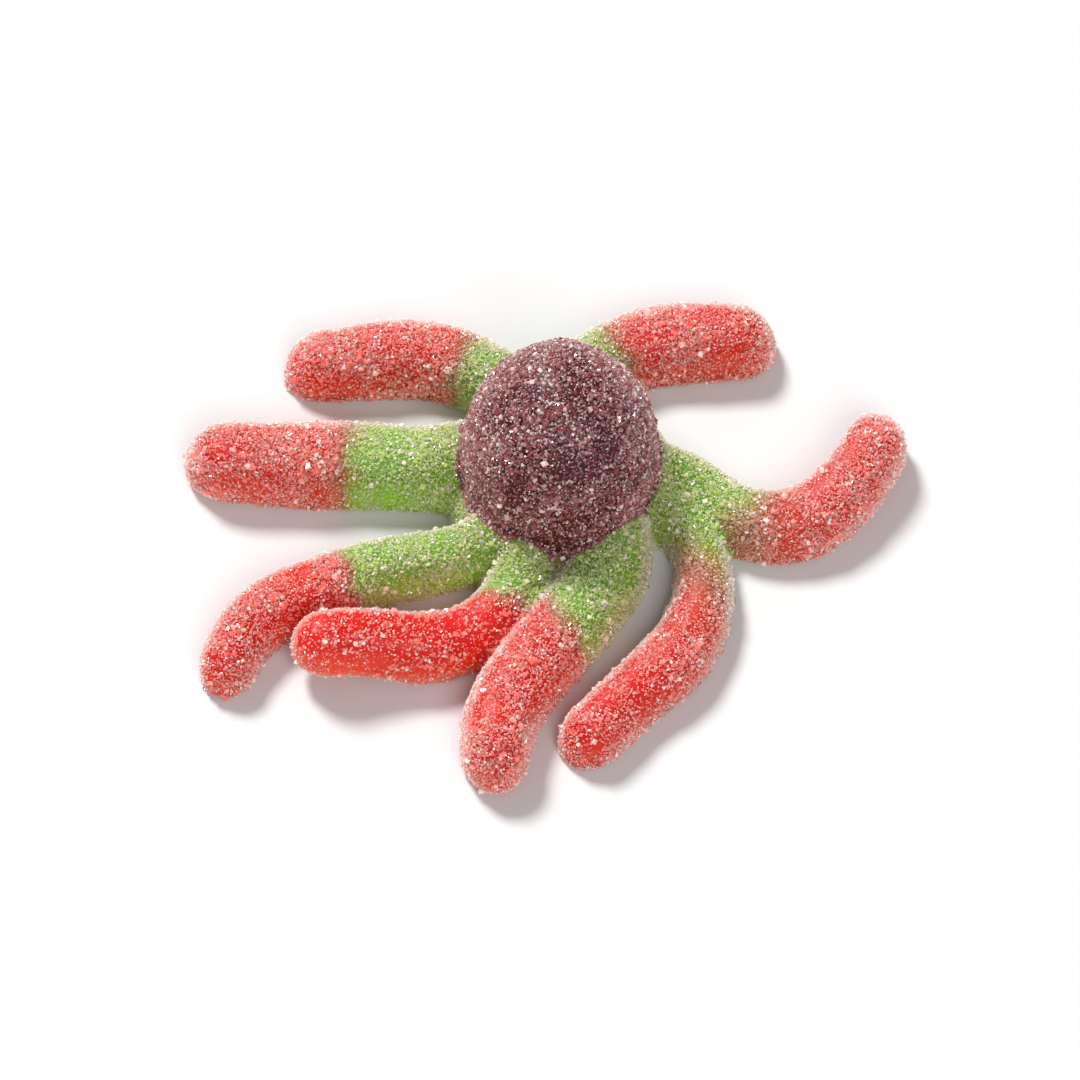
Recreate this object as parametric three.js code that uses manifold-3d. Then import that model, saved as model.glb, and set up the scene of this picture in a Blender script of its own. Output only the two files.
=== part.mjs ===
// A sour gummy octopus, cast in one piece: a tall domed head on a low round body, eight tentacles
// that lie on the table, and the coarsest grains of the sour sugar that coats it.
// Millimetres, +Z up. The origin is on the flat underside, where the eight tentacles meet.
import * as THREE from "three";
import { mergeVertices } from "three/addons/utils/BufferGeometryUtils.js";
import { MeshSurfaceSampler } from "three/addons/math/MeshSurfaceSampler.js";
import Module from "manifold-3d";

const wasm = await Module();
wasm.setup();

// The head is a dome, narrower at its top. Its sides go straight down from its shoulder, and it
// leans a little forward of the middle.
const HEAD_WIDTH = 16.6;
const HEAD_DEPTH = 16.8;
const HEAD_TOP = 18.9;
const HEAD_SHOULDER = 8;
const HEAD_LEAN = 0.5;
const HEAD_TAPER = 0.06;

// The body is the low dome that the tentacles and the head share.
const BODY_WIDTH = 20;
const BODY_HEIGHT = 7.4;

// A tentacle's section is flat below and rounded above. It starts tall, where it climbs the body,
// swells from its root to its belly over the given shares of its length, and narrows to its tip.
const ROOT_RADIUS = 4;
const ROOT_HEIGHT = 8.6;
const ROOT_RUN = 10;
const SECTION_SQUARENESS = 0.82;
const SWELL_FROM = 0.1;
const SWELL_TO = 0.68;
const TAPER_FROM = 0.55;
const TIP_TAPER = 0.16;
const LIFT_FROM = 0.45;

// Each tentacle: where it leaves the body and which way it heads, in degrees from +X, its length,
// its turn over each third of that length, its width at the root and at the belly, its height,
// and how far its tip stands off the table. They run from the left one round the front.
const TENTACLES = [
  { angle: 155, heading: 193, length: 28.5, bends: [-18, 6, -4], root: 7, belly: 7.4, height: 5.6, lift: 0.9 },
  { angle: -97, heading: -147, length: 34.6, bends: [-23, 15, 60], root: 5, belly: 6, height: 4.9, lift: 0 },
  { angle: -126, heading: -84, length: 29, bends: [-40, -58, 16], root: 5.2, belly: 6, height: 4.8, lift: 2.8 },
  { angle: -23, heading: -68, length: 31, bends: [-57, 0, 55], root: 7.2, belly: 7, height: 5.5, lift: 0.8 },
  { angle: -26, heading: 4, length: 34.2, bends: [-83, -58, 7], root: 4.4, belly: 6, height: 4.8, lift: 0 },
  { angle: -11, heading: 19, length: 30.3, bends: [-62, 84, 36], root: 5.2, belly: 6.5, height: 5, lift: 1.2 },
  { angle: 90, heading: 92, length: 24, bends: [-54, -38, -2], root: 6, belly: 7, height: 5.4, lift: 0.5 },
  { angle: 118, heading: 104, length: 26, bends: [45, 40, -8], root: 6, belly: 6.8, height: 5.2, lift: 0 },
];

// The sugar: coarse cubes, spread evenly over all but the underside, partly sunk in the gum.
const GRAIN_COUNT = 185;
const GRAIN_TRIES = 2500;
const GRAIN_SIZE = 0.85;
const GRAIN_UNEVENNESS = 0.25;
const GRAIN_SINK = 0.12;
const GRAIN_SPACING = 2.6;
const GRAIN_CLEARANCE = 2.4;
const GRAIN_LOWEST = 1.1;
const GRAIN_FACES_DOWN = -0.2;
const SUGAR_SEED = 20;

// How finely the shapes are faceted.
const HEAD_SIDES = 26;
const HEAD_CAP_RINGS = 9;
const HEAD_SIDE_RINGS = 4;
const BODY_RINGS = 8;
const TENTACLE_SIDES = 14;
const TENTACLE_RINGS = 13;
const TIP_RINGS = 3;

// The block that cuts the underside flat is larger than the whole octopus. Head and tentacles
// reach this far below the table before the cut.
const TABLE_SIZE = 120;
const TABLE_CUT = 1.2;

// Vertices closer than this are one vertex.
const MERGE_WITHIN = 1e-4;

const { clamp, degToRad, lerp, smoothstep } = THREE.MathUtils;

// A closed three.js shape as a solid, with only its positions left and its seams merged.
function solidOf(geometry) {
  geometry.deleteAttribute("normal");
  geometry.deleteAttribute("uv");
  const merged = mergeVertices(geometry, MERGE_WITHIN);
  return new wasm.Manifold(
    new wasm.Mesh({
      numProp: 3,
      vertProperties: merged.attributes.position.array,
      triVerts: new Uint32Array(merged.index.array),
    }),
  );
}

function geometryOf(solid) {
  const { vertProperties, triVerts } = solid.getMesh();
  const geometry = new THREE.BufferGeometry();
  geometry.setAttribute("position", new THREE.BufferAttribute(vertProperties, 3));
  geometry.setIndex(new THREE.BufferAttribute(triVerts, 1));
  return geometry;
}

// Moves every vertex of a shape to where `place` sends it.
function reshape(geometry, place) {
  const position = geometry.attributes.position;
  const point = new THREE.Vector3();
  for (let i = 0; i < position.count; i++) {
    place(point.fromBufferAttribute(position, i));
    position.setXYZ(i, point.x, point.y, point.z);
  }
  return geometry;
}

// A linear congruential generator, seeded so that the sugar lies the same each time.
function seededRandom(seed) {
  const factor = 1664525;
  const step = 1013904223;
  const states = 2 ** 32;
  let state = seed;
  return () => {
    state = (Math.imul(state, factor) + step) >>> 0;
    return state / states;
  };
}

// A plain capsule, of radius 1 and shaft 1: its upper cap becomes the dome, and its shaft the
// straight sides, which end below the table.
function head() {
  const capsule = new THREE.CapsuleGeometry(1, 1, HEAD_CAP_RINGS, HEAD_SIDES, HEAD_SIDE_RINGS);
  reshape(capsule.rotateX(Math.PI / 2), (p) => {
    const above = Math.max(p.z - 0.5, 0);
    const below = Math.max(0.5 - p.z, 0);
    const narrowing = 1 - HEAD_TAPER * above;
    p.x *= (narrowing * HEAD_WIDTH) / 2;
    p.y *= (narrowing * HEAD_DEPTH) / 2;
    p.z = HEAD_SHOULDER + above * (HEAD_TOP - HEAD_SHOULDER) - below * (HEAD_SHOULDER + TABLE_CUT);
  });
  return solidOf(capsule.translate(0, -HEAD_LEAN, 0));
}

function body() {
  const dome = new THREE.SphereGeometry(1, HEAD_SIDES, 2 * BODY_RINGS).rotateX(Math.PI / 2);
  return solidOf(dome.scale(BODY_WIDTH / 2, BODY_WIDTH / 2, BODY_HEIGHT));
}

// The point and heading on a tentacle's centre line, a distance s from its start. Each third is an
// arc, so its chord points halfway through its turn.
function along(tentacle, s) {
  const arc = tentacle.length / tentacle.bends.length;
  const start = degToRad(tentacle.angle);
  const point = new THREE.Vector2(Math.cos(start), Math.sin(start)).multiplyScalar(ROOT_RADIUS);
  let heading = degToRad(tentacle.heading);
  tentacle.bends.forEach((bend, i) => {
    const run = clamp(s - i * arc, 0, arc);
    const half = (degToRad(bend) * run) / arc / 2;
    const chord = half ? (run * Math.sin(half)) / half : run;
    point.x += chord * Math.cos(heading + half);
    point.y += chord * Math.sin(heading + half);
    heading += 2 * half;
  });
  return { point, heading };
}

// A plain capsule, of radius 1 and shaft 1, bent along the tentacle's line and swollen to the
// tentacle's section at each distance.
function tentacleSolid(tentacle) {
  const { length, root, belly, height, lift } = tentacle;
  const capsule = new THREE.CapsuleGeometry(1, 1, TIP_RINGS, TENTACLE_SIDES, TENTACLE_RINGS);
  reshape(capsule, (p) => {
    const fromRoot = p.y + 0.5;
    const share = clamp(fromRoot, 0, 1);
    const beyond = fromRoot - share;
    const cap = (beyond > 0 ? belly : root) / 2;
    const s = lerp(root / 2, length - belly / 2, share) + beyond * cap;
    const swollen = lerp(root, belly, smoothstep(s / length, SWELL_FROM, SWELL_TO));
    const halfWidth = (swollen * (1 - TIP_TAPER * smoothstep(s / length, TAPER_FROM, 1))) / 2;
    const top = lerp(ROOT_HEIGHT, height, smoothstep(s, 0, ROOT_RUN));
    const turn = Math.atan2(p.z, p.x);
    const round = Math.hypot(p.x, p.z);
    const side = Math.sign(p.x) * Math.abs(Math.cos(turn)) ** SECTION_SQUARENESS;
    const up = Math.abs(Math.sin(turn)) ** SECTION_SQUARENESS;
    const { point, heading } = along(tentacle, s);
    p.x = point.x + round * side * halfWidth * Math.sin(heading);
    p.y = point.y - round * side * halfWidth * Math.cos(heading);
    p.z = round * up * (turn > 0 ? top : -TABLE_CUT) + lift * smoothstep(s / length, LIFT_FROM, 1);
  });
  return solidOf(capsule);
}

// The block under the table, which leaves the underside flat at z = 0.
function table() {
  const block = new THREE.BoxGeometry(TABLE_SIZE, TABLE_SIZE, TABLE_SIZE);
  return solidOf(block.translate(0, 0, -TABLE_SIZE / 2));
}

// Cubes set in the gum at seeded places, none within GRAIN_SPACING of another, and none where the
// way out from the surface soon meets the octopus again, as between two tentacles.
function sugar(gum) {
  const random = seededRandom(SUGAR_SEED);
  const surface = new THREE.Mesh(geometryOf(gum), new THREE.MeshBasicMaterial());
  const sampler = new MeshSurfaceSampler(surface).setRandomGenerator(random).build();
  const ray = new THREE.Raycaster();
  ray.far = GRAIN_CLEARANCE;
  const place = new THREE.Vector3();
  const outward = new THREE.Vector3();
  const taken = [];
  const grains = [];
  for (let tries = 0; tries < GRAIN_TRIES && grains.length < GRAIN_COUNT; tries++) {
    sampler.sample(place, outward);
    ray.set(place.clone().addScaledVector(outward, GRAIN_SINK), outward);
    const low = place.z < GRAIN_LOWEST || outward.z < GRAIN_FACES_DOWN;
    const crowded = taken.some((other) => other.distanceTo(place) < GRAIN_SPACING);
    if (low || crowded || ray.intersectObject(surface).length) continue;
    taken.push(place.clone());
    const size = GRAIN_SIZE * (1 + GRAIN_UNEVENNESS * (random() - 0.5));
    const cube = new THREE.BoxGeometry(size, size, size * (1 + GRAIN_UNEVENNESS * random()));
    const tumble = new THREE.Euler(random() * Math.PI, random() * Math.PI, random() * Math.PI);
    cube.applyMatrix4(new THREE.Matrix4().makeRotationFromEuler(tumble));
    cube.translate(...place.clone().addScaledVector(outward, GRAIN_SINK).toArray());
    grains.push(solidOf(cube));
  }
  return grains;
}

const gum = wasm.Manifold.union([head(), body(), ...TENTACLES.map(tentacleSolid)]).subtract(table());
const coated = wasm.Manifold.union([gum, ...sugar(gum)]);

const octopus = new THREE.Mesh(
  geometryOf(coated),
  new THREE.MeshStandardMaterial({ color: 0xb9685c, roughness: 0.62, metalness: 0 }),
);
octopus.name = "gummy_octopus";

const part = new THREE.Group();
part.add(octopus);

export default part;
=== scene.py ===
from collections import namedtuple

import bmesh
import bpy
import numpy as np
from mathutils import Matrix, Vector, noise


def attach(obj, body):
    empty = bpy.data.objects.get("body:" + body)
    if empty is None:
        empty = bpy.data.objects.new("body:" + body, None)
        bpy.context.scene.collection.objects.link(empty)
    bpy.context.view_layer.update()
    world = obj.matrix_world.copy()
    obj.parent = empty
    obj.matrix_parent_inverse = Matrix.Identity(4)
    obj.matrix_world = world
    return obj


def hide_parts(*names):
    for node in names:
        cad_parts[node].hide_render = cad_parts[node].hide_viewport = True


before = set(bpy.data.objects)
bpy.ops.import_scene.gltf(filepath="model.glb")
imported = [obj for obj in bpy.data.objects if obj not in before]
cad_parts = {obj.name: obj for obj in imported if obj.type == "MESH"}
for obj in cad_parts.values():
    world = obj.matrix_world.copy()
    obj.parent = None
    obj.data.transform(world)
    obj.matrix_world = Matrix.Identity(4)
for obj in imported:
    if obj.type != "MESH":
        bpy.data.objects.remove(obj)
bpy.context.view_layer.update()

# The view
# The octopus is seen from its front, from 60 degrees above the table and half a metre away,
# through a long lens that takes in half as much again as the octopus is wide.
MM = 0.001
VIEW_ELEVATION = np.radians(60)
VIEW_DISTANCE = 530 * MM
VIEW_AIM = Vector((-1.7 * MM, -6.9 * MM, 3.3 * MM))
VIEW_WIDTH = 91 * MM
VIEW_NEAREST = 50 * MM
SENSOR_WIDTH = 36

camera_data = bpy.data.cameras.new("camera")
camera_data.sensor_width = SENSOR_WIDTH
camera_data.lens = SENSOR_WIDTH * VIEW_DISTANCE / VIEW_WIDTH
camera_data.clip_start = VIEW_NEAREST
camera = bpy.data.objects.new("camera", camera_data)
bpy.context.scene.collection.objects.link(camera)
toward_viewer = Vector((0, -np.cos(VIEW_ELEVATION), np.sin(VIEW_ELEVATION)))
camera.location = VIEW_AIM + VIEW_DISTANCE * toward_viewer
camera.rotation_euler = toward_viewer.to_track_quat("Z", "Y").to_euler()
bpy.context.scene.camera = camera

# The tentacles
# Eight arms of soft gum, cast with the body in one open mould: flat below and round above.
# Each starts under the head, climbs it a little, and runs along three arcs to a rounded tip.

# Each tentacle: where it leaves the body, which way it heads and its turn over each third, in
# degrees, and its sizes in millimetres, down to how far its tip stands off the table. Then how
# far along it turns red, over what length, how slanted that change is, and its share of sugar.
Tentacle = namedtuple(
    "Tentacle", "angle heading length bends root belly height lift red_from red_blur slant sugared"
)
TENTACLES = [
    Tentacle(155, 193, 28.5, (-18, 6, -4), 7, 7.4, 5.6, 0.9, 14.7, 4.2, 0.1, 1.0),
    Tentacle(-97, -147, 34.6, (-23, 15, 60), 5, 6, 4.9, 0, 18.6, 1.4, 0.0, 0.8),
    Tentacle(-126, -84, 29, (-40, -58, 16), 5.2, 6, 4.8, 2.8, 10.4, 2.4, -0.35, 0.3),
    Tentacle(-23, -68, 31, (-57, 0, 55), 7.2, 7, 5.5, 0.8, 14.6, 2.6, 0.45, 0.75),
    Tentacle(-26, 4, 34.2, (-83, -58, 7), 4.4, 6, 4.8, 0, 13.8, 12.0, 0.8, 0.6),
    Tentacle(-11, 19, 30.3, (-62, 84, 36), 5.2, 6.5, 5, 1.2, 14.4, 8.0, 0.45, 0.9),
    Tentacle(90, 92, 24, (-54, -38, -2), 6, 7, 5.4, 0.5, 9.8, 4.6, 0.0, 0.9),
    Tentacle(118, 104, 26, (45, 40, -8), 6, 6.8, 5.2, 0, 10.0, 3.6, 0.0, 1.0),
]
ROOT_RADIUS = 4
ROOT_HEIGHT = 8.6
ROOT_RUN = 10
TABLE_CUT = 1.2
SECTION_SQUARENESS = 0.82
SWELL_FROM = 0.1
SWELL_TO = 0.68
TAPER_FROM = 0.55
TIP_TAPER = 0.16
LIFT_FROM = 0.45
TENTACLE_SIDES = 20
TENTACLE_RINGS = 64
CAP_SHARE = 0.14


def smooth_share(value, low, high):
    share = np.clip((value - low) / (high - low), 0, 1)
    return share * share * (3 - 2 * share)


def along(tentacle, s):
    """The points and headings on a tentacle's centre line at the distances s from its start."""
    arc = tentacle.length / len(tentacle.bends)
    start = np.radians(tentacle.angle)
    x = np.full_like(s, ROOT_RADIUS * np.cos(start))
    y = np.full_like(s, ROOT_RADIUS * np.sin(start))
    heading = np.full_like(s, np.radians(tentacle.heading))
    for i, bend in enumerate(tentacle.bends):
        run = np.clip(s - i * arc, 0, arc)
        half = np.radians(bend) * run / arc / 2
        chord = run * np.sinc(half / np.pi)
        x += chord * np.cos(heading + half)
        y += chord * np.sin(heading + half)
        heading += 2 * half
    return x, y, heading


def shape_vertices(bm, place):
    """Moves every vertex of a bmesh to where place() sends the array of their places."""
    places = np.array([v.co for v in bm.verts])
    for vertex, co in zip(bm.verts, place(places)):
        vertex.co = co


def make_tentacle(tentacle):
    bm = bmesh.new()
    bmesh.ops.create_uvsphere(bm, u_segments=TENTACLE_SIDES, v_segments=TENTACLE_RINGS, radius=1)
    root_cap = tentacle.root / 2
    tip_cap = tentacle.belly / 2

    def place(p):
        share = np.arccos(np.clip(-p[:, 2], -1, 1)) / np.pi
        in_root = np.clip(share / CAP_SHARE, 0, 1) * np.pi / 2
        in_tip = np.clip((1 - share) / CAP_SHARE, 0, 1) * np.pi / 2
        in_shaft = np.clip((share - CAP_SHARE) / (1 - 2 * CAP_SHARE), 0, 1)
        s = root_cap + in_shaft * (tentacle.length - root_cap - tip_cap)
        s += tip_cap * np.cos(in_tip) - root_cap * np.cos(in_root)
        swell = smooth_share(s / tentacle.length, SWELL_FROM, SWELL_TO)
        half_width = (tentacle.root + (tentacle.belly - tentacle.root) * swell) / 2
        half_width *= 1 - TIP_TAPER * smooth_share(s / tentacle.length, TAPER_FROM, 1)
        rise = 1 - smooth_share(s, 0, ROOT_RUN)
        top = tentacle.height + (ROOT_HEIGHT - tentacle.height) * rise
        taper = np.sin(in_root) * np.sin(in_tip)
        turn = np.arctan2(p[:, 1], p[:, 0])
        side = np.sign(np.cos(turn)) * np.abs(np.cos(turn)) ** SECTION_SQUARENESS
        up = np.abs(np.sin(turn)) ** SECTION_SQUARENESS
        x, y, heading = along(tentacle, s)
        across = taper * side * half_width
        lift = tentacle.lift * smooth_share(s / tentacle.length, LIFT_FROM, 1)
        height = taper * up * np.where(np.sin(turn) > 0, top, -TABLE_CUT) + lift
        return np.stack([x + across * np.sin(heading), y - across * np.cos(heading), height], 1)

    shape_vertices(bm, place)
    return bm


# The head
# A tall dome of dark gum, whose sides go straight down between the roots of the arms.
# It is poured first, so its colour ends where the green gum of the body was poured on to it.
# The rounded top of a sphere is kept, and its rim drawn down to make the sides.
HEAD_WIDTH = 16.6
HEAD_DEPTH = 16.8
HEAD_TOP = 18.9
HEAD_SHOULDER = 8
HEAD_LEAN = 0.5
HEAD_TAPER = 0.06
HEAD_SIDES = 64
HEAD_RINGS = 48
HEAD_HALF = np.array([HEAD_WIDTH / 2, HEAD_DEPTH / 2, HEAD_TOP - HEAD_SHOULDER])
HEAD_MIDDLE = np.array([0, -HEAD_LEAN, HEAD_SHOULDER])


def head_narrowing(above_shoulder):
    narrowing = 1 - HEAD_TAPER * np.maximum(above_shoulder, 0)
    return np.hstack([narrowing, narrowing, np.ones_like(narrowing)])


def make_head():
    bm = bmesh.new()
    bmesh.ops.create_uvsphere(bm, u_segments=HEAD_SIDES, v_segments=HEAD_RINGS, radius=1)
    whole = [*bm.verts, *bm.edges, *bm.faces]
    bmesh.ops.bisect_plane(bm, geom=whole, plane_co=(0, 0, 0), plane_no=(0, 0, 1), clear_inner=True)
    wall = bmesh.ops.extrude_edge_only(bm, edges=[e for e in bm.edges if e.is_boundary])["geom"]
    foot = [v for v in wall if isinstance(v, bmesh.types.BMVert)]
    bmesh.ops.translate(bm, verts=foot, vec=(0, 0, -HEAD_SHOULDER / HEAD_HALF[2]))
    bmesh.ops.holes_fill(bm, edges=[e for e in bm.edges if e.is_boundary])
    shape_vertices(bm, lambda p: HEAD_MIDDLE + HEAD_HALF * p * head_narrowing(p[:, 2:]))
    return bm


# The body
# A low dome of green gum under the head, which joins the eight arms into one sweet.
BODY_WIDTH = 20
BODY_HEIGHT = 7.4


def make_body():
    bm = bmesh.new()
    bmesh.ops.create_icosphere(bm, subdivisions=4, radius=1)
    shape_vertices(bm, lambda p: p * (BODY_WIDTH / 2, BODY_WIDTH / 2, BODY_HEIGHT))
    return bm


# The gum
# Head, body and arms are one piece of soft gum, so their meshes are run together and smoothed.
# The underside is the mould's open face: flat, and a grain's height off the table.
VOXEL = 0.32
SMOOTHING_PASSES = 7
SMOOTHING_EACH = 0.5
UNDERSIDE = 0.22
LUMP_SIZE = 5.5
LUMP_HEIGHT = 0.22
RIPPLE_SIZE = 1.6
RIPPLE_HEIGHT = 0.06
SUGAR_THICKNESS = 0.1


def inner_vertices(bm):
    """The vertices of shells apart from the outer one: bubbles sealed in between two arms."""
    front = [max(bm.verts, key=lambda v: v.co.z)]
    outer = set(front)
    while front:
        vertex = front.pop()
        fresh = {edge.other_vert(vertex) for edge in vertex.link_edges} - outer
        outer |= fresh
        front.extend(fresh)
    return [v for v in bm.verts if v not in outer]


joined = bmesh.new()
for part in [make_head(), make_body(), *map(make_tentacle, TENTACLES)]:
    bmesh.ops.recalc_face_normals(part, faces=part.faces)
    loose = bpy.data.meshes.new("loose")
    part.to_mesh(loose)
    part.free()
    joined.from_mesh(loose)
    bpy.data.meshes.remove(loose)
gum_mesh = bpy.data.meshes.new("gum")
joined.to_mesh(gum_mesh)
joined.free()
gum = bpy.data.objects.new("gum", gum_mesh)
bpy.context.scene.collection.objects.link(gum)
remesh = gum.modifiers.new("remesh", "REMESH")
remesh.mode = "VOXEL"
remesh.voxel_size = VOXEL
remesh.use_smooth_shade = True
bpy.context.view_layer.update()
fused = bpy.data.meshes.new_from_object(gum.evaluated_get(bpy.context.evaluated_depsgraph_get()))
gum.modifiers.clear()
gum.data = fused
bpy.data.meshes.remove(gum_mesh)
fused.name = "gum"

bm = bmesh.new()
bm.from_mesh(fused)
bmesh.ops.delete(bm, geom=inner_vertices(bm), context="VERTS")
for _ in range(SMOOTHING_PASSES):
    bmesh.ops.smooth_vert(
        bm, verts=bm.verts, factor=SMOOTHING_EACH, use_axis_x=True, use_axis_y=True, use_axis_z=True
    )
bm.normal_update()
for vertex in bm.verts:
    lump = LUMP_HEIGHT * noise.noise(vertex.co / LUMP_SIZE)
    ripple = RIPPLE_HEIGHT * noise.noise(vertex.co / RIPPLE_SIZE)
    vertex.co += (lump + ripple - SUGAR_THICKNESS) * vertex.normal
    vertex.co.z = max(vertex.co.z, UNDERSIDE)
bm.to_mesh(fused)
bm.free()

# Where each spot of the gum lies: how far along its arm past the change to red, and how much of
# the head's dark gum it holds, with painted shade round the head that darkens the green near it
# toward purple. The sugar takes on the colour of the spot that it sticks to.
PATH_SAMPLES = 70
RED_UNEVENNESS = 0.8
RED_GRAIN_SIZE = 2.2
HEAD_EDGE_LOW = 2.0
HEAD_EDGE_HIGH = 4.4
HEAD_EDGE_UNEVENNESS = 0.3
HEAD_SKIN = 0.5
# Painted shade round the head: how far out from the head it reaches, and how much of the head's
# purple it mixes in at most.
PAINTED_SHADE_REACH = 5.5
PAINTED_SHADE_MOST = 0.22
# Painted glow: gum facing further down than the first value is painted fully bright, and gum facing
# further up than the second is not painted at all.
PAINTED_GLOW_FACES_DOWN = -0.3
PAINTED_GLOW_FACES_UP = 0.7
FROST_MOST = 0.45
FROST_FALLS = 2


def colour_zones(places):
    """For places in mm: shares of red, of the head's purple with the painted shade round it, and of
    the fullest sugar, 0 to 1.
    """
    nearest = np.full(len(places), np.inf)
    red = np.zeros(len(places))
    sugared = np.ones(len(places))
    uneven = np.array([noise.noise(Vector(p) / RED_GRAIN_SIZE) for p in places])
    for tentacle in TENTACLES:
        s = np.linspace(0, tentacle.length, PATH_SAMPLES)
        x, y, heading = along(tentacle, s)
        apart = np.hypot(places[:, :1] - x, places[:, 1:2] - y)
        closest = apart.argmin(axis=1)
        distance = apart[np.arange(len(places)), closest]
        side = (places[:, 0] - x[closest]) * np.sin(heading[closest])
        side -= (places[:, 1] - y[closest]) * np.cos(heading[closest])
        reach = s[closest] + RED_UNEVENNESS * uneven + tentacle.slant * side
        blur = tentacle.red_blur / 2
        here = smooth_share(reach, tentacle.red_from - blur, tentacle.red_from + blur)
        is_nearer = distance < nearest
        red[is_nearer] = here[is_nearer]
        sugared[is_nearer] = 1 + (tentacle.sugared - 1) * here[is_nearer]
        nearest = np.minimum(nearest, distance)
    from_middle = (places - HEAD_MIDDLE) / HEAD_HALF
    from_middle /= head_narrowing(from_middle[:, 2:])
    from_middle[:, 2] = np.maximum(from_middle[:, 2], 0)
    from_head = np.linalg.norm(from_middle, axis=1) - 1
    from_head = from_head * HEAD_WIDTH / 2 - HEAD_EDGE_UNEVENNESS * uneven
    purple = 1 - smooth_share(from_head, HEAD_SKIN / 2, HEAD_SKIN)
    purple *= smooth_share(places[:, 2] + uneven, HEAD_EDGE_LOW, HEAD_EDGE_HIGH)
    # Painted shade: the green near the head is darkened toward the head's purple, fading out a few
    # millimetres from the head.
    purple = np.maximum(purple, PAINTED_SHADE_MOST * (1 - smooth_share(from_head, 0, PAINTED_SHADE_REACH)))
    return red, purple, sugared


def vertex_places(mesh):
    places = np.empty(len(mesh.vertices) * 3)
    mesh.vertices.foreach_get("co", places)
    return places.reshape(-1, 3)


def write_share(mesh, name, values):
    mesh.attributes.new(name, "FLOAT", "POINT").data.foreach_set("value", values.astype(np.float32))


gum_places = vertex_places(fused)
gum_red, gum_purple_and_shade, gum_sugared = colour_zones(gum_places)
gum_normals = np.empty(len(fused.vertices) * 3, np.float32)
fused.vertex_normals.foreach_get("vector", gum_normals)
gum_normals = gum_normals.reshape(-1, 3)
# Painted glow: the further the gum faces down, the more it is painted in brighter, more saturated
# colours, as if light were shining through it.
gum_painted_glow = 1 - smooth_share(gum_normals[:, 2], PAINTED_GLOW_FACES_DOWN, PAINTED_GLOW_FACES_UP)
write_share(fused, "red_share", gum_red)
write_share(fused, "purple_and_shade_share", gum_purple_and_shade)
write_share(fused, "painted_glow_share", gum_painted_glow)
write_share(fused, "frost_share", FROST_MOST * gum_sugared ** FROST_FALLS)


def linear(red, green, blue):
    """A colour given as it looks on screen, from 0 to 255, as Blender's own linear colour."""
    screen = np.array([red, green, blue]) / 255
    light = np.where(screen > 0.04045, ((screen + 0.055) / 1.055) ** 2.4, screen / 12.92)
    return (*light, 1)


def zone_colour(tree, green, blend, red, purple):
    """Nodes that give a spot its colour from its shares of red and of purple, with the painted
    shade round the head.
    """
    red_share = tree.nodes.new("ShaderNodeAttribute")
    red_share.attribute_name = "red_share"
    purple_and_shade_share = tree.nodes.new("ShaderNodeAttribute")
    purple_and_shade_share.attribute_name = "purple_and_shade_share"
    ramp = tree.nodes.new("ShaderNodeValToRGB")
    ramp.color_ramp.elements[0].color = green
    ramp.color_ramp.elements[1].color = red
    ramp.color_ramp.elements.new(0.5).color = blend
    tree.links.new(red_share.outputs["Fac"], ramp.inputs["Fac"])
    mix = tree.nodes.new("ShaderNodeMix")
    mix.data_type = "RGBA"
    mix.inputs["B"].default_value = purple
    tree.links.new(purple_and_shade_share.outputs["Fac"], mix.inputs["Factor"])
    tree.links.new(ramp.outputs["Color"], mix.inputs["A"])
    return mix.outputs["Result"]


def apart_on_head(tree, elsewhere, on_head):
    """Nodes that give one value where the gum is dark, as on the head, and another elsewhere."""
    purple_and_shade_share = tree.nodes.new("ShaderNodeAttribute")
    purple_and_shade_share.attribute_name = "purple_and_shade_share"
    value = tree.nodes.new("ShaderNodeMapRange")
    value.inputs["To Min"].default_value = elsewhere
    value.inputs["To Max"].default_value = on_head
    tree.links.new(purple_and_shade_share.outputs["Fac"], value.inputs["Value"])
    return value.outputs["Result"]


GUM_GREEN = linear(120, 176, 40)
GUM_BLEND = linear(170, 90, 44)
GUM_RED = linear(210, 16, 10)
GUM_PURPLE = linear(70, 2, 8)
# The painted glow colours, brighter and more saturated than the gum's own, for gum that faces down.
PAINTED_GLOW_GREEN = linear(182, 240, 40)
PAINTED_GLOW_BLEND = linear(216, 140, 40)
PAINTED_GLOW_RED = linear(240, 74, 22)
FROST_GREEN = linear(158, 204, 96)
FROST_BLEND = linear(206, 140, 84)
FROST_RED = linear(238, 88, 66)
FROST_PURPLE = linear(98, 20, 26)
FROST_GRAIN = 0.24
FROST_DETAIL = 3
FROST_LOW = 0.42
FROST_HIGH = 0.72
# Painted sheen: the gum is painted paler toward its outline, where it is seen at a glancing angle,
# and hardly at all on the head.
PAINTED_RIM_WHITE = linear(250, 206, 190)
PAINTED_RIM_FROM = 0.45
PAINTED_RIM_TO = 0.95
PAINTED_RIM_MOST = 0.75
PAINTED_RIM_ON_HEAD = 0.05
PORE_GRAIN = 0.22
PORE_DEPTH = 0.08
PORE_STRENGTH = 0.5
GUM_ROUGHNESS = 0.45
GUM_GLOSS = 0.3
GUM_SHEEN = 0.25
GUM_SHEEN_ROUGHNESS = 0.3
GUM_SHEEN_TINT = (1, 0.86, 0.8, 1)
GUM_CLEARNESS = (1.0, 0.8, 0.4)
GUM_LIGHT_REACH = 6

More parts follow.
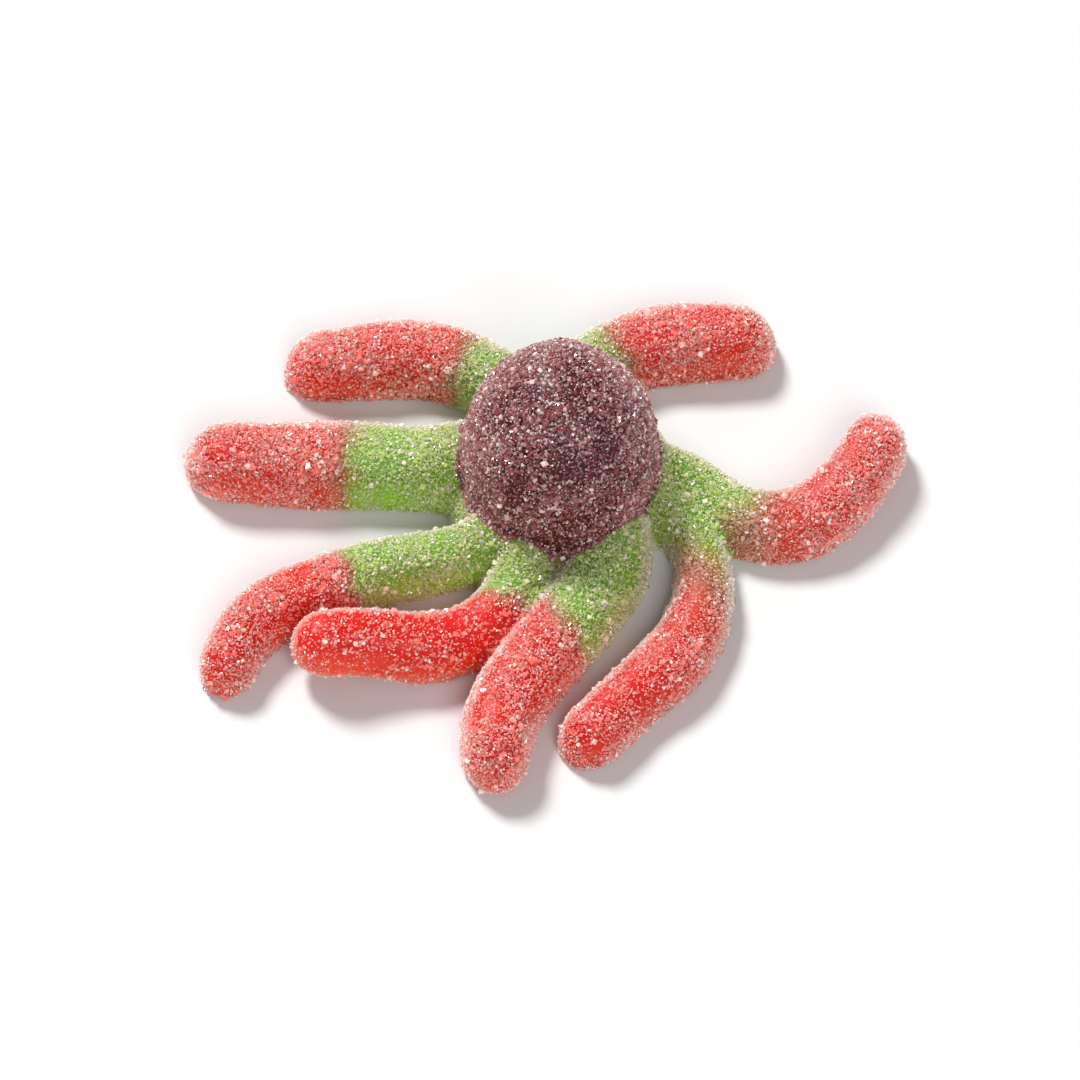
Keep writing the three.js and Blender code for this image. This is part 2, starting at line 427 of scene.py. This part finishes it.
gum_finish = bpy.data.materials.new("gum")
gum_finish.use_nodes = True
tree = gum_finish.node_tree
skin = tree.nodes["Principled BSDF"]
where = tree.nodes.new("ShaderNodeTexCoord")
frost_grain = tree.nodes.new("ShaderNodeTexNoise")
frost_grain.inputs["Scale"].default_value = 1 / (FROST_GRAIN * MM)
frost_grain.inputs["Detail"].default_value = FROST_DETAIL
tree.links.new(where.outputs["Object"], frost_grain.inputs["Vector"])
frost_most = tree.nodes.new("ShaderNodeAttribute")
frost_most.attribute_name = "frost_share"
frost_share = tree.nodes.new("ShaderNodeMapRange")
frost_share.inputs["From Min"].default_value = FROST_LOW
frost_share.inputs["From Max"].default_value = FROST_HIGH
tree.links.new(frost_most.outputs["Fac"], frost_share.inputs["To Max"])
tree.links.new(frost_grain.outputs["Fac"], frost_share.inputs["Value"])
# Painted sheen: where the gum is seen at a glancing angle, its colour is mixed toward a pale white,
# less so on the head.
glancing = tree.nodes.new("ShaderNodeLayerWeight")
rim = tree.nodes.new("ShaderNodeMapRange")
rim.inputs["From Min"].default_value = PAINTED_RIM_FROM
rim.inputs["From Max"].default_value = PAINTED_RIM_TO
tree.links.new(apart_on_head(tree, PAINTED_RIM_MOST, PAINTED_RIM_ON_HEAD), rim.inputs["To Max"])
tree.links.new(glancing.outputs["Facing"], rim.inputs["Value"])
frosted = tree.nodes.new("ShaderNodeMix")
frosted.data_type = "RGBA"
tree.links.new(frost_share.outputs["Result"], frosted.inputs["Factor"])
frost_colour = zone_colour(tree, FROST_GREEN, FROST_BLEND, FROST_RED, FROST_PURPLE)
tree.links.new(frost_colour, frosted.inputs["B"])
deep_colour = zone_colour(tree, GUM_GREEN, GUM_BLEND, GUM_RED, GUM_PURPLE)
painted_glow_colour = zone_colour(tree, PAINTED_GLOW_GREEN, PAINTED_GLOW_BLEND, PAINTED_GLOW_RED, GUM_PURPLE)
# Painted glow: the gum's colour is mixed toward the brighter glow colours where the gum faces down.
painted_glow_share = tree.nodes.new("ShaderNodeAttribute")
painted_glow_share.attribute_name = "painted_glow_share"
with_painted_glow = tree.nodes.new("ShaderNodeMix")
with_painted_glow.data_type = "RGBA"
tree.links.new(painted_glow_share.outputs["Fac"], with_painted_glow.inputs["Factor"])
tree.links.new(deep_colour, with_painted_glow.inputs["A"])
tree.links.new(painted_glow_colour, with_painted_glow.inputs["B"])
tree.links.new(with_painted_glow.outputs["Result"], frosted.inputs["A"])
with_painted_rim = tree.nodes.new("ShaderNodeMix")
with_painted_rim.data_type = "RGBA"
with_painted_rim.inputs["B"].default_value = PAINTED_RIM_WHITE
tree.links.new(rim.outputs["Result"], with_painted_rim.inputs["Factor"])
tree.links.new(frosted.outputs["Result"], with_painted_rim.inputs["A"])
tree.links.new(with_painted_rim.outputs["Result"], skin.inputs["Base Color"])
pores = tree.nodes.new("ShaderNodeTexNoise")
pores.inputs["Scale"].default_value = 1 / (PORE_GRAIN * MM)
tree.links.new(where.outputs["Object"], pores.inputs["Vector"])
pore_bump = tree.nodes.new("ShaderNodeBump")
pore_bump.inputs["Strength"].default_value = PORE_STRENGTH
pore_bump.inputs["Distance"].default_value = PORE_DEPTH * MM
tree.links.new(pores.outputs["Fac"], pore_bump.inputs["Height"])
tree.links.new(pore_bump.outputs["Normal"], skin.inputs["Normal"])
skin.inputs["Roughness"].default_value = GUM_ROUGHNESS
skin.inputs["Specular IOR Level"].default_value = GUM_GLOSS
skin.inputs["Sheen Weight"].default_value = GUM_SHEEN
skin.inputs["Sheen Roughness"].default_value = GUM_SHEEN_ROUGHNESS
skin.inputs["Sheen Tint"].default_value = GUM_SHEEN_TINT
skin.inputs["Subsurface Weight"].default_value = 1
skin.inputs["Subsurface Radius"].default_value = GUM_CLEARNESS
skin.inputs["Subsurface Scale"].default_value = GUM_LIGHT_REACH * MM
gum.data.materials.append(gum_finish)
gum.data.transform(Matrix.Scale(MM, 4))
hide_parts("gummy_octopus")
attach(gum, "root")

# The sugar
# Sour sugar, tumbled on to the damp gum: coarse and fine crystals, and the dust between them.
# Each is a small skewed block, speck or shard, sunk a little in the gum and tinted by what is
# under it. All crystals of one kind are one mesh.
SUGAR_SEED = 20
BLOCK = np.array([(x, y, z) for x in (-1, 1) for y in (-1, 1) for z in (-1, 1)]) / 2
BLOCK_FACES = [(0, 1, 3, 2), (4, 6, 7, 5), (0, 4, 5, 1), (2, 3, 7, 6), (0, 2, 6, 4), (1, 5, 7, 3)]
SPECK = np.array([(-1, 0, 0), (1, 0, 0), (0, -1, 0), (0, 1, 0), (0, 0, -1), (0, 0, 1)]) / 2
SPECK_FACES = [
    (4, 1, 2), (4, 3, 1), (4, 0, 3), (4, 2, 0), (5, 2, 1), (5, 1, 3), (5, 3, 0), (5, 0, 2),
]
SHARD = np.array([(1, 1, 1), (1, -1, -1), (-1, 1, -1), (-1, -1, 1)]) / 2
SHARD_FACES = [(0, 1, 2), (0, 3, 1), (0, 2, 3), (1, 3, 2)]

# Each kind: how many, their sizes in millimetres, their corners and faces, how deep they are
# sunk, as a share of their size, and how unevenly they lie.
Sugar = namedtuple("Sugar", "name count smallest largest shape faces sunk bareness")
SUGARS = [
    Sugar("sugar_coarse", 1500, 0.28, 0.42, BLOCK, BLOCK_FACES, 0.3, 0.45),
    Sugar("sugar_blocks", 12000, 0.16, 0.27, BLOCK, BLOCK_FACES, 0.25, 0.5),
    Sugar("sugar_splinters", 20000, 0.16, 0.28, SPECK, SPECK_FACES, 0.25, 0.5),
    Sugar("sugar_dust", 24500, 0.12, 0.22, SPECK, SPECK_FACES, 0.2, 0.3),
    Sugar("sugar_powder", 49000, 0.12, 0.2, SHARD, SHARD_FACES, 0.2, 0.3),
    Sugar("sugar_frost", 49000, 0.1, 0.16, SHARD, SHARD_FACES, 0.2, 0.1),
]
JITTER = 0.14
SIDE_SHORTEST = 0.65
SIDE_LONGEST = 1.15
CLUSTER_SIZE = 2.6
SUGAR_THINNEST = 0.05
SUGAR_BELOW = 0.5
FACES_DOWN = -0.3
FACES_UP = 0.85
RARITY_OF_WHITE = 4
LEAST_AREA = 1e-9

fused.calc_loop_triangles()
corners = np.empty(len(fused.loop_triangles) * 3, int)
fused.loop_triangles.foreach_get("vertices", corners)
corners = corners.reshape(-1, 3)
triangle = gum_places[corners]
facing = np.cross(triangle[:, 1] - triangle[:, 0], triangle[:, 2] - triangle[:, 0])
double_area = np.linalg.norm(facing, axis=1)
facing /= np.maximum(double_area, LEAST_AREA)[:, None]
clusters = np.array([noise.noise(Vector(p) / CLUSTER_SIZE) for p in triangle[:, 0]])


def random_turns(random, count):
    """Random rotations, from normalised quaternions."""
    w, x, y, z = random.normal(size=(count, 4)).T
    size = np.sqrt(w * w + x * x + y * y + z * z)
    w, x, y, z = w / size, x / size, y / size, z / size
    rows = [
        [1 - 2 * (y * y + z * z), 2 * (x * y - z * w), 2 * (x * z + y * w)],
        [2 * (x * y + z * w), 1 - 2 * (x * x + z * z), 2 * (y * z - x * w)],
        [2 * (x * z - y * w), 2 * (y * z + x * w), 1 - 2 * (x * x + y * y)],
    ]
    return np.array(rows).transpose(2, 0, 1)


def make_sugar(sugar, random):
    thickness = 1 - sugar.bareness + 2 * sugar.bareness * clusters
    weight = double_area * np.maximum(thickness, SUGAR_THINNEST)
    weight *= gum_sugared[corners[:, 0]]
    weight *= SUGAR_BELOW + (1 - SUGAR_BELOW) * smooth_share(facing[:, 2], FACES_DOWN, FACES_UP)
    chosen = random.choice(len(corners), sugar.count, p=weight / weight.sum())
    u, v = random.random((2, sugar.count, 1))
    folded = u + v > 1
    u, v = np.where(folded, 1 - u, u), np.where(folded, 1 - v, v)
    a, b, c = triangle[chosen].transpose(1, 0, 2)
    places = a + u * (b - a) + v * (c - a)
    size = random.uniform(sugar.smallest, sugar.largest, (sugar.count, 1, 1))
    size = size * random.uniform(SIDE_SHORTEST, SIDE_LONGEST, (sugar.count, 1, 3))
    corner_count = len(sugar.shape)
    jitter = random.uniform(-JITTER, JITTER, (sugar.count, corner_count, 3))
    blocks = (sugar.shape + jitter) * size
    blocks = np.einsum("nij,nkj->nki", random_turns(random, sugar.count), blocks)
    out = facing[chosen] * size.mean(axis=(1, 2))[:, None] * (0.5 - sugar.sunk)
    blocks += (places + out)[:, None]
    blocks[:, :, 2] -= np.minimum(blocks[:, :, 2].min(axis=1), 0)[:, None]
    step = corner_count * np.arange(sugar.count)[:, None, None]
    faces = (np.array(sugar.faces) + step).reshape(-1, len(sugar.faces[0]))
    mesh = bpy.data.meshes.new(sugar.name)
    mesh.from_pydata((blocks.reshape(-1, 3) * MM).tolist(), [], faces.tolist())
    under = np.repeat(corners[chosen, 0], corner_count)
    whiteness = random.random(sugar.count) ** RARITY_OF_WHITE
    write_share(mesh, "red_share", gum_red[under])
    write_share(mesh, "purple_and_shade_share", gum_purple_and_shade[under])
    write_share(mesh, "whiteness", np.repeat(whiteness, corner_count))
    gum_facing = mesh.attributes.new("gum_facing", "FLOAT_VECTOR", "POINT")
    gum_facing.data.foreach_set("vector", gum_normals[under].ravel())
    return mesh


SUGAR_GREEN = linear(164, 200, 90)
SUGAR_BLEND = linear(184, 120, 88)
SUGAR_RED = linear(252, 100, 88)
SUGAR_PURPLE = linear(126, 22, 38)
# The white of the whitest crystals, which is also the colour of the painted sheen on the sugar.
SUGAR_WHITE_AND_SHEEN = linear(252, 226, 218)
WHITENESS_LEAST = 0.06
WHITENESS_MOST = 0.95
# Painted sheen on the sugar: crystals are painted whiter where the gum under them is seen at a
# glancing angle, and hardly at all on the head.
PAINTED_SHEEN_FROM = 0.42
PAINTED_SHEEN_TO = 0.9
PAINTED_SHEEN_MOST = 0.62
PAINTED_SHEEN_ON_HEAD = 0.03
SUGAR_ROUGHNESS = 0.12
SUGAR_BENDS_LIGHT = 1.54
SUGAR_CLEARNESS = (1, 0.9, 0.85)
SUGAR_LIGHT_REACH = 0.2

sugar_finish = bpy.data.materials.new("sugar")
sugar_finish.use_nodes = True
tree = sugar_finish.node_tree
crystal = tree.nodes["Principled BSDF"]
whiteness = tree.nodes.new("ShaderNodeAttribute")
whiteness.attribute_name = "whiteness"
how_white = tree.nodes.new("ShaderNodeMapRange")
how_white.inputs["To Min"].default_value = WHITENESS_LEAST
how_white.inputs["To Max"].default_value = WHITENESS_MOST
tree.links.new(whiteness.outputs["Fac"], how_white.inputs["Value"])
# Each crystal is mixed toward white by its own random whiteness plus a painted sheen where the gum
# under it is seen at a glancing angle.
gum_facing = tree.nodes.new("ShaderNodeAttribute")
gum_facing.attribute_name = "gum_facing"
glancing = tree.nodes.new("ShaderNodeLayerWeight")
tree.links.new(gum_facing.outputs["Vector"], glancing.inputs["Normal"])
painted_sheen = tree.nodes.new("ShaderNodeMapRange")
painted_sheen.inputs["From Min"].default_value = PAINTED_SHEEN_FROM
painted_sheen.inputs["From Max"].default_value = PAINTED_SHEEN_TO
tree.links.new(apart_on_head(tree, PAINTED_SHEEN_MOST, PAINTED_SHEEN_ON_HEAD), painted_sheen.inputs["To Max"])
tree.links.new(glancing.outputs["Facing"], painted_sheen.inputs["Value"])
whiteness_and_painted_sheen = tree.nodes.new("ShaderNodeMath")
whiteness_and_painted_sheen.use_clamp = True
tree.links.new(how_white.outputs["Result"], whiteness_and_painted_sheen.inputs[0])
tree.links.new(painted_sheen.outputs["Result"], whiteness_and_painted_sheen.inputs[1])
whitened_and_sheened = tree.nodes.new("ShaderNodeMix")
whitened_and_sheened.data_type = "RGBA"
whitened_and_sheened.inputs["B"].default_value = SUGAR_WHITE_AND_SHEEN
tree.links.new(whiteness_and_painted_sheen.outputs["Value"], whitened_and_sheened.inputs["Factor"])
sugar_colour = zone_colour(tree, SUGAR_GREEN, SUGAR_BLEND, SUGAR_RED, SUGAR_PURPLE)
tree.links.new(sugar_colour, whitened_and_sheened.inputs["A"])
tree.links.new(whitened_and_sheened.outputs["Result"], crystal.inputs["Base Color"])
crystal.inputs["Roughness"].default_value = SUGAR_ROUGHNESS
crystal.inputs["Subsurface Weight"].default_value = 1
crystal.inputs["Subsurface Radius"].default_value = SUGAR_CLEARNESS
crystal.inputs["Subsurface Scale"].default_value = SUGAR_LIGHT_REACH * MM
crystal.inputs["IOR"].default_value = SUGAR_BENDS_LIGHT

random = np.random.default_rng(SUGAR_SEED)
for sugar in SUGARS:
    grains = bpy.data.objects.new(sugar.name, make_sugar(sugar, random))
    bpy.context.scene.collection.objects.link(grains)
    grains.data.materials.append(sugar_finish)
    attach(grains, "root")

# The floor and the light
# A plain white table under a bright even sky, with two wide suns: the stronger one behind and
# above, whose light the sugar's faces catch, and a softer one at the front.
FLOOR_SIZE = 4
FLOOR_COLOUR = (0.62, 0.62, 0.62, 1)
FLOOR_ROUGHNESS = 0.6
SKY_HEIGHT = 0.5
SKY_AT_HORIZON = 0.9
SKY_ABOVE = 0.26
floor_mesh = bpy.data.meshes.new("floor")
bm = bmesh.new()
bmesh.ops.create_grid(bm, x_segments=1, y_segments=1, size=FLOOR_SIZE / 2)
bm.to_mesh(floor_mesh)
bm.free()
floor = bpy.data.objects.new("floor", floor_mesh)
bpy.context.scene.collection.objects.link(floor)
floor_finish = bpy.data.materials.new("floor")
floor_finish.use_nodes = True
floor_surface = floor_finish.node_tree.nodes["Principled BSDF"]
floor_surface.inputs["Base Color"].default_value = FLOOR_COLOUR
floor_surface.inputs["Roughness"].default_value = FLOOR_ROUGHNESS
floor.data.materials.append(floor_finish)

sky = bpy.data.worlds.new("sky")
sky.use_nodes = True
tree = sky.node_tree
direction = tree.nodes.new("ShaderNodeTexCoord")
height = tree.nodes.new("ShaderNodeSeparateXYZ")
tree.links.new(direction.outputs["Generated"], height.inputs["Vector"])
brightness = tree.nodes.new("ShaderNodeMapRange")
brightness.inputs["From Max"].default_value = SKY_HEIGHT
brightness.inputs["To Min"].default_value = SKY_AT_HORIZON
brightness.inputs["To Max"].default_value = SKY_ABOVE
tree.links.new(height.outputs["Z"], brightness.inputs["Value"])
background = tree.nodes["Background"]
background.inputs["Color"].default_value = (1, 1, 1, 1)
tree.links.new(brightness.outputs["Result"], background.inputs["Strength"])
bpy.context.scene.world = sky


def add_sun(name, strength, width, toward):
    """A sun of a strength in watts for each square metre, as wide as width degrees of sky."""
    sun_data = bpy.data.lights.new(name, "SUN")
    sun_data.energy = strength
    sun_data.angle = np.radians(width)
    sun = bpy.data.objects.new(name, sun_data)
    bpy.context.scene.collection.objects.link(sun)
    sun.location = toward
    sun.rotation_euler = Vector(toward).to_track_quat("Z", "Y").to_euler()


add_sun("key_light", strength=3.7, width=14, toward=(-0.32, 0.46, 0.7))
add_sun("fill_light", strength=1.5, width=30, toward=(0.15, -0.5, 0.6))

bpy.context.scene.view_settings.view_transform = "Standard"
